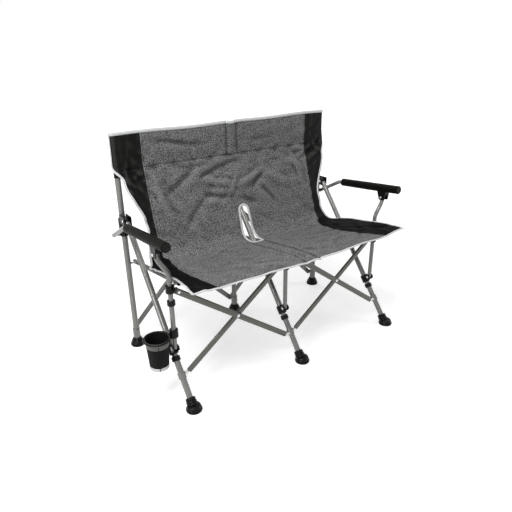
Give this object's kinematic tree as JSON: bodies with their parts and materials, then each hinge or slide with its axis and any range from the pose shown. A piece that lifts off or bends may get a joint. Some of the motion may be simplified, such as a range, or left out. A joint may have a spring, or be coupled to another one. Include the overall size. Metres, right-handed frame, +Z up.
{
  "type": "folding camping loveseat",
  "caption": "Folding camping seat for two: side frames joined by crossed tubes, with a sling seat and back, padded arms and a cup holder.",
  "frame": {"origin": "middle of the centre rear foot's flat base, on the ground", "axes": "+Z up, the seat faces -Y, +X runs along the chair's width"},
  "size_m": [1.1446, 0.5954, 0.883],
  "materials": {
    "steel": "silver-grey powder coat",
    "dark_steel": "dark grey powder coat",
    "zinc": "bright zinc plate",
    "plastic": "black moulded nylon",
    "foam": "black closed-cell foam",
    "fabric": "grey melange polyester with black side panels",
    "cup_fabric": "black woven polyester"
  },
  "bodies": {
    "root": {"centre_rear_upright": "steel", "centre_rear_foot": "plastic", "back_fabric": "fabric"},
    "left_side": {"left_rear_upright": "steel", "left_rear_foot": "plastic", "left_stop_collar": "plastic"},
    "right_side": {"right_rear_upright": "steel", "right_rear_foot": "plastic", "right_stop_collar": "plastic"},
    "left_hub": {"left_leg_hub": "plastic"},
    "left_leg": {"left_front_leg": "steel", "left_front_foot": "plastic", "left_leg_stop_ring": "plastic", "left_leg_bracket": "zinc"},
    "left_slider": {"left_leg_slider": "plastic"},
    "left_post": {"left_front_post": "steel", "left_seat_stop_ring": "plastic", "left_seat_clamp": "plastic", "cup_holder_ring": "plastic", "cup_holder_cup": "cup_fabric"},
    "left_rail": {"left_seat_rail": "dark_steel"},
    "left_arm": {"left_arm_tube": "steel", "left_arm_pad": "foam", "left_arm_bracket": "plastic"},
    "centre_hub": {"centre_leg_hub": "plastic"},
    "centre_leg": {"centre_front_leg": "steel", "centre_front_foot": "plastic", "centre_leg_stop_ring": "plastic", "centre_leg_bracket": "zinc"},
    "centre_slider": {"centre_leg_slider": "plastic"},
    "centre_post": {"centre_front_post": "steel", "centre_seat_stop_ring": "plastic", "centre_seat_clamp": "plastic"},
    "centre_rail": {"centre_seat_rail": "dark_steel", "seat_fabric": "fabric"},
    "right_hub": {"right_leg_hub": "plastic"},
    "right_leg": {"right_front_leg": "steel", "right_front_foot": "plastic", "right_leg_stop_ring": "plastic", "right_leg_bracket": "zinc"},
    "right_slider": {"right_leg_slider": "plastic"},
    "right_post": {"right_front_post": "steel", "right_seat_stop_ring": "plastic", "right_seat_clamp": "plastic"},
    "right_rail": {"right_seat_rail": "dark_steel"},
    "right_arm": {"right_arm_tube": "steel", "right_arm_pad": "foam", "right_arm_bracket": "plastic"},
    "left_rear_falling": {"left_rear_falling_tube": "steel"},
    "left_rear_rising": {"left_rear_rising_tube": "steel", "left_rear_cross_rivet": "zinc"},
    "left_front_falling": {"left_front_falling_tube": "steel", "left_front_cross_rivet": "zinc"},
    "left_front_rising": {"left_front_rising_tube": "steel"},
    "right_rear_falling": {"right_rear_falling_tube": "steel"},
    "right_rear_rising": {"right_rear_rising_tube": "steel", "right_rear_cross_rivet": "zinc"},
    "right_front_falling": {"right_front_falling_tube": "steel", "right_front_cross_rivet": "zinc"},
    "right_front_rising": {"right_front_rising_tube": "steel"}
  },
  "joints": [
    {"name": "fold", "type": "slide", "parent": "root", "child": "left_side", "axis": [1, 0, 0], "range_m": [0, 0.4], "deforming": ["back_fabric", "seat_fabric"]},
    {"name": "right_side_slide", "type": "slide", "parent": "root", "child": "right_side", "axis": [1, 0, 0], "range_m": [-0.40001, 0]},
    {"name": "left_hub_slide", "type": "slide", "parent": "left_side", "child": "left_hub", "axis": [0, 0, 1], "range_m": [0, 0.20001]},
    {"name": "left_leg_swing", "type": "hinge", "parent": "left_hub", "child": "left_leg", "pos_m": [-0.49, -0.042, 0.566], "axis": [1, 0, 0], "range_deg": [0, 36.16]},
    {"name": "left_slider_slide", "type": "slide", "parent": "left_leg", "child": "left_slider", "axis": [0, 0.6315, 0.7754], "range_m": [0, 0.25397]},
    {"name": "left_post_swing", "type": "hinge", "parent": "left_slider", "child": "left_post", "pos_m": [-0.49, -0.386, 0.19], "axis": [1, 0, 0], "range_deg": [-36.16, 0]},
    {"name": "left_rail_swing", "type": "hinge", "parent": "left_side", "child": "left_rail", "pos_m": [-0.4585, -0.003, 0.376], "axis": [1, 0, 0], "range_deg": [-68.67, 0]},
    {"name": "left_arm_swing", "type": "hinge", "parent": "left_side", "child": "left_arm", "pos_m": [-0.5265, 0, 0.506], "axis": [1, 0, 0], "range_deg": [-70.74, 0]},
    {"name": "centre_hub_slide", "type": "slide", "parent": "root", "child": "centre_hub", "axis": [0, 0, 1], "range_m": [0, 0.20001]},
    {"name": "centre_leg_swing", "type": "hinge", "parent": "centre_hub", "child": "centre_leg", "pos_m": [0, -0.042, 0.566], "axis": [1, 0, 0], "range_deg": [0, 36.16]},
    {"name": "centre_slider_slide", "type": "slide", "parent": "centre_leg", "child": "centre_slider", "axis": [0, 0.6315, 0.7754], "range_m": [0, 0.25397]},
    {"name": "centre_post_swing", "type": "hinge", "parent": "centre_slider", "child": "centre_post", "pos_m": [0, -0.386, 0.19], "axis": [1, 0, 0], "range_deg": [-36.16, 0]},
    {"name": "centre_rail_swing", "type": "hinge", "parent": "root", "child": "centre_rail", "pos_m": [0.0315, -0.003, 0.376], "axis": [1, 0, 0], "range_deg": [-68.67, 0]},
    {"name": "right_hub_slide", "type": "slide", "parent": "right_side", "child": "right_hub", "axis": [0, 0, 1], "range_m": [0, 0.20001]},
    {"name": "right_leg_swing", "type": "hinge", "parent": "right_hub", "child": "right_leg", "pos_m": [0.49, -0.042, 0.566], "axis": [1, 0, 0], "range_deg": [0, 36.16]},
    {"name": "right_slider_slide", "type": "slide", "parent": "right_leg", "child": "right_slider", "axis": [0, 0.6315, 0.7754], "range_m": [0, 0.25397]},
    {"name": "right_post_swing", "type": "hinge", "parent": "right_slider", "child": "right_post", "pos_m": [0.49, -0.386, 0.19], "axis": [1, 0, 0], "range_deg": [-36.16, 0]},
    {"name": "right_rail_swing", "type": "hinge", "parent": "right_side", "child": "right_rail", "pos_m": [0.4585, -0.003, 0.376], "axis": [1, 0, 0], "range_deg": [-68.67, 0]},
    {"name": "right_arm_swing", "type": "hinge", "parent": "right_side", "child": "right_arm", "pos_m": [0.5265, 0, 0.506], "axis": [1, 0, 0], "range_deg": [-70.74, 0]},
    {"name": "left_rear_falling_swing", "type": "hinge", "parent": "root", "child": "left_rear_falling", "pos_m": [-0.014, 0.0228, 0.066], "axis": [0, 1, 0], "range_deg": [0, 39.45]},
    {"name": "left_rear_rising_swing", "type": "hinge", "parent": "left_side", "child": "left_rear_rising", "pos_m": [-0.476, 0.036, 0.066], "axis": [0, 1, 0], "range_deg": [-39.45, 0]},
    {"name": "left_front_falling_swing", "type": "hinge", "parent": "centre_leg", "child": "left_front_falling", "pos_m": [-0.027, -0.43066, 0.09692], "axis": [-0.4979, 0.8298, -0.252], "range_deg": [0, 56.96]},
    {"name": "left_front_rising_swing", "type": "hinge", "parent": "left_leg", "child": "left_front_rising", "pos_m": [-0.463, -0.41746, 0.09692], "axis": [0.5011, 0.8275, -0.2534], "range_deg": [-57.09, 0]},
    {"name": "right_rear_falling_swing", "type": "hinge", "parent": "right_side", "child": "right_rear_falling", "pos_m": [0.476, 0.0228, 0.066], "axis": [0, 1, 0], "range_deg": [0, 39.45]},
    {"name": "right_rear_rising_swing", "type": "hinge", "parent": "root", "child": "right_rear_rising", "pos_m": [0.014, 0.036, 0.066], "axis": [0, 1, 0], "range_deg": [-39.45, 0]},
    {"name": "right_front_falling_swing", "type": "hinge", "parent": "right_leg", "child": "right_front_falling", "pos_m": [0.463, -0.43066, 0.09692], "axis": [-0.4979, 0.8298, -0.252], "range_deg": [0, 56.96]},
    {"name": "right_front_rising_swing", "type": "hinge", "parent": "centre_leg", "child": "right_front_rising", "pos_m": [0.027, -0.41746, 0.09692], "axis": [0.5011, 0.8275, -0.2534], "range_deg": [-57.09, 0]}
  ],
  "couplings": [
    {"joint": "right_side_slide", "follows": "fold", "ratio": -1},
    {"joint": "left_hub_slide", "follows": "fold", "ratio": 0.5},
    {"joint": "left_leg_swing", "follows": "fold", "rad_per_m": 1.5779},
    {"joint": "left_slider_slide", "follows": "fold", "ratio": 0.6349},
    {"joint": "left_post_swing", "follows": "fold", "rad_per_m": -1.5779},
    {"joint": "left_rail_swing", "follows": "fold", "rad_per_m": -2.9963},
    {"joint": "left_arm_swing", "follows": "fold", "rad_per_m": -3.0867},
    {"joint": "centre_hub_slide", "follows": "fold", "ratio": 0.5},
    {"joint": "centre_leg_swing", "follows": "fold", "rad_per_m": 1.5779},
    {"joint": "centre_slider_slide", "follows": "fold", "ratio": 0.6349},
    {"joint": "centre_post_swing", "follows": "fold", "rad_per_m": -1.5779},
    {"joint": "centre_rail_swing", "follows": "fold", "rad_per_m": -2.9963},
    {"joint": "right_hub_slide", "follows": "fold", "ratio": 0.5},
    {"joint": "right_leg_swing", "follows": "fold", "rad_per_m": 1.5779},
    {"joint": "right_slider_slide", "follows": "fold", "ratio": 0.6349},
    {"joint": "right_post_swing", "follows": "fold", "rad_per_m": -1.5779},
    {"joint": "right_rail_swing", "follows": "fold", "rad_per_m": -2.9963},
    {"joint": "right_arm_swing", "follows": "fold", "rad_per_m": -3.0867},
    {"joint": "left_rear_falling_swing", "follows": "fold", "rad_per_m": 1.721},
    {"joint": "left_rear_rising_swing", "follows": "fold", "rad_per_m": -1.721},
    {"joint": "left_front_falling_swing", "follows": "fold", "rad_per_m": 2.4853},
    {"joint": "left_front_rising_swing", "follows": "fold", "rad_per_m": -2.4911},
    {"joint": "right_rear_falling_swing", "follows": "fold", "rad_per_m": 1.721},
    {"joint": "right_rear_rising_swing", "follows": "fold", "rad_per_m": -1.721},
    {"joint": "right_front_falling_swing", "follows": "fold", "rad_per_m": 2.4853},
    {"joint": "right_front_rising_swing", "follows": "fold", "rad_per_m": -2.4911}
  ]
}
